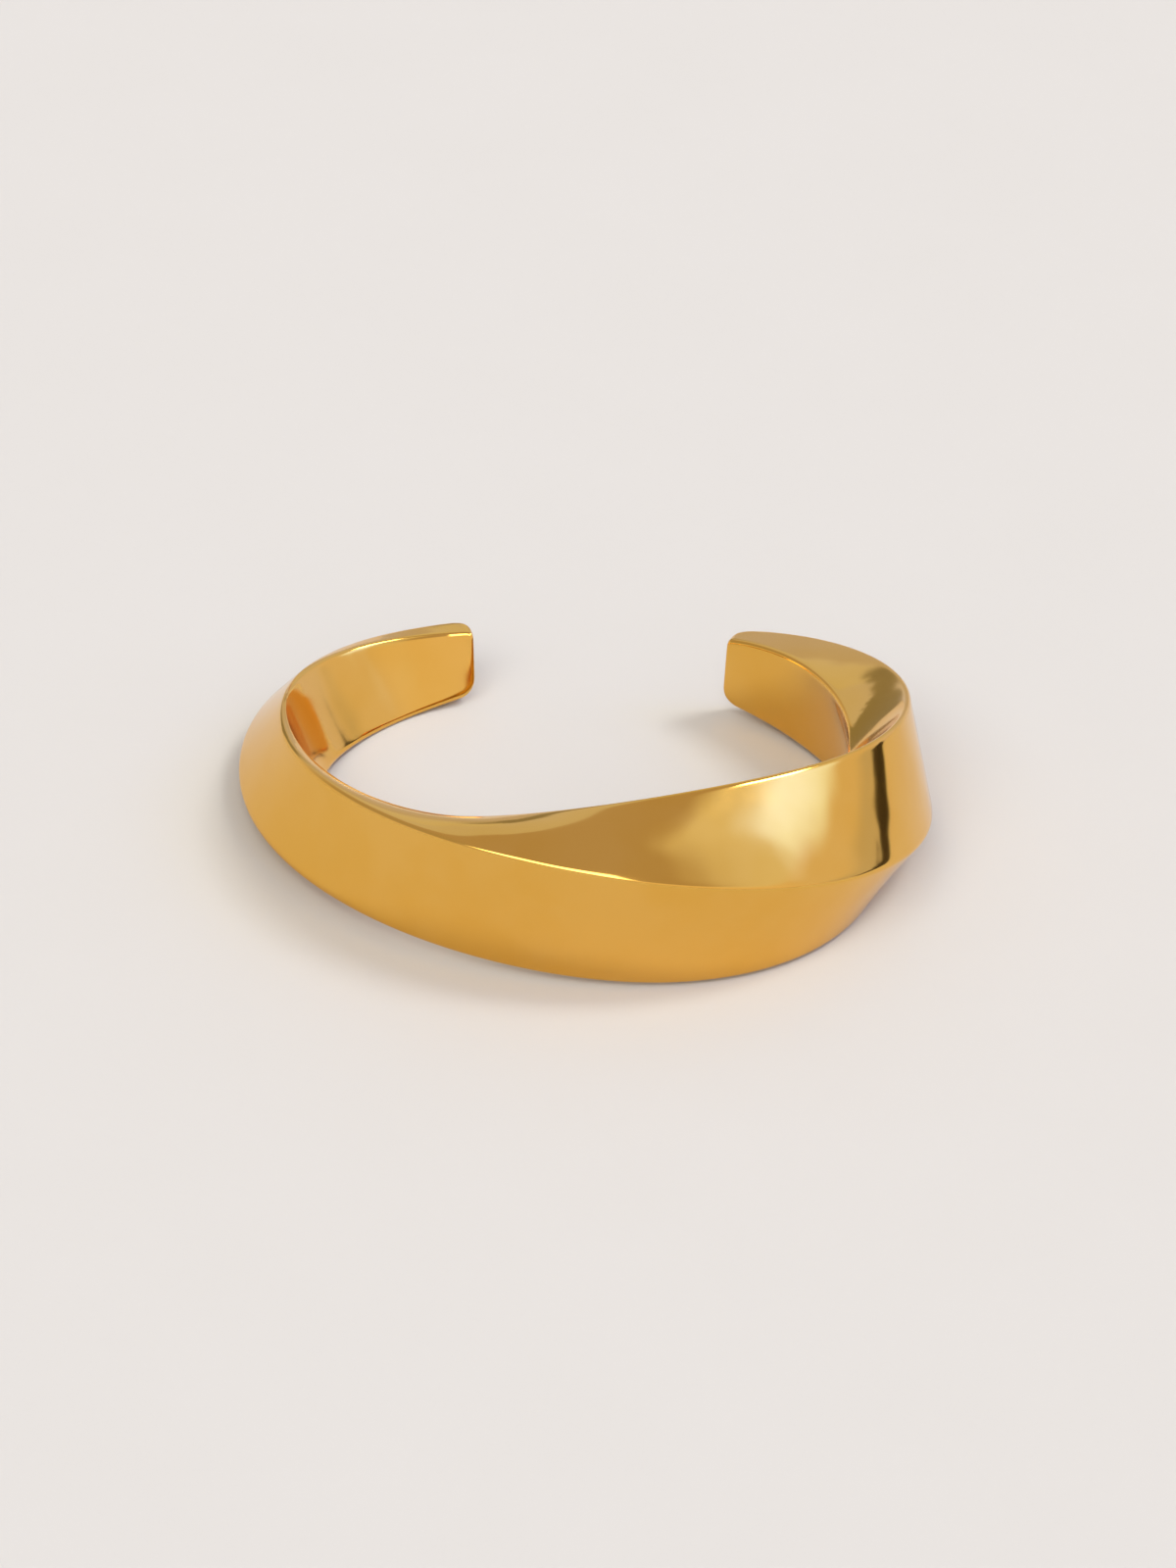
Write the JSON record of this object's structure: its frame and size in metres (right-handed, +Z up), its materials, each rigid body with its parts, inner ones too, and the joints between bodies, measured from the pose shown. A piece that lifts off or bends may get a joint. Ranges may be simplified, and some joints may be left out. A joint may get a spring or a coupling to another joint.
{
  "type": "open twisted cuff bangle",
  "caption": "Open cuff bangle: one solid polished bar that twists and swells round the front, with a gap at the back for the wrist.",
  "frame": {"origin": "on the surface the cuff lies on, below the middle of its bounding box", "axes": "+Z up from that surface, -Y towards the broad twisted front, +Y towards the gap between the ends, +X towards the side where the bar stands tallest"},
  "size_m": [0.0752, 0.0578, 0.0198],
  "materials": {
    "polished_gold": "polished gold plating on solid brass"
  },
  "bodies": {
    "root": {"cuff": "polished_gold"}
  },
  "joints": []
}
